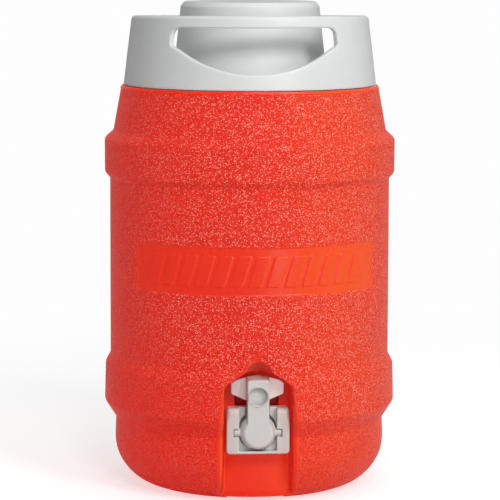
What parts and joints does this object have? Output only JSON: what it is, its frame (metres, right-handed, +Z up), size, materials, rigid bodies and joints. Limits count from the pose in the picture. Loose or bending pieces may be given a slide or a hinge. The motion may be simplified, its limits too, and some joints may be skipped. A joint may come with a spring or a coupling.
{
  "type": "insulated drink dispenser",
  "caption": "Insulated keg-shaped drink dispenser with hoop bands, a screw-in lid with a ring handle and a fold-out ball-valve spout in a pocket at the foot.",
  "frame": {"origin": "centre of the base plane, on the body's axis", "axes": "+Z up; the spout faces -Y; +X to the right seen from the front"},
  "size_m": [0.2138, 0.2133, 0.354],
  "materials": {
    "shell_plastic": "pebble grained, semi-gloss",
    "liner_plastic": "smooth",
    "foam": "cellular",
    "tap_plastic": "satin",
    "washer_rubber": "matte",
    "gasket_silicone": "matte",
    "lid_plastic": "satin"
  },
  "bodies": {
    "keg_body": {"outer_shell": "shell_plastic", "inner_liner": "liner_plastic", "foam_insulation": "foam", "foam_port_plugs": "shell_plastic", "tap_bracket": "tap_plastic", "tap_outer_washer": "washer_rubber", "tap_inner_washer": "washer_rubber", "tap_lock_nut": "tap_plastic", "ball_seat_ring": "washer_rubber"},
    "spout": {"pour_spout": "tap_plastic"},
    "gasket": {"lid_gasket": "gasket_silicone"},
    "lid": {"lid_shell": "lid_plastic", "lid_base": "lid_plastic", "lid_foam": "foam", "lid_port_plug": "lid_plastic"}
  },
  "joints": [
    {"name": "spout_fold", "type": "hinge", "parent": "keg_body", "child": "spout", "pos_m": [0, -0.092, 0.0525], "axis": [1, 0, 0], "range_deg": [0, 90]},
    {"name": "lid_rise", "type": "slide", "parent": "keg_body", "child": "gasket", "axis": [0, 0, 1], "range_m": [0, 0.0152]},
    {"name": "lid_turn", "type": "hinge", "parent": "gasket", "child": "lid", "pos_m": [0, 0, 0.3], "axis": [0, 0, 1], "range_deg": [0, 450]}
  ],
  "couplings": [
    {"joint": "lid_rise", "follows": "lid_turn", "m_per_rad": 0.0019099}
  ]
}
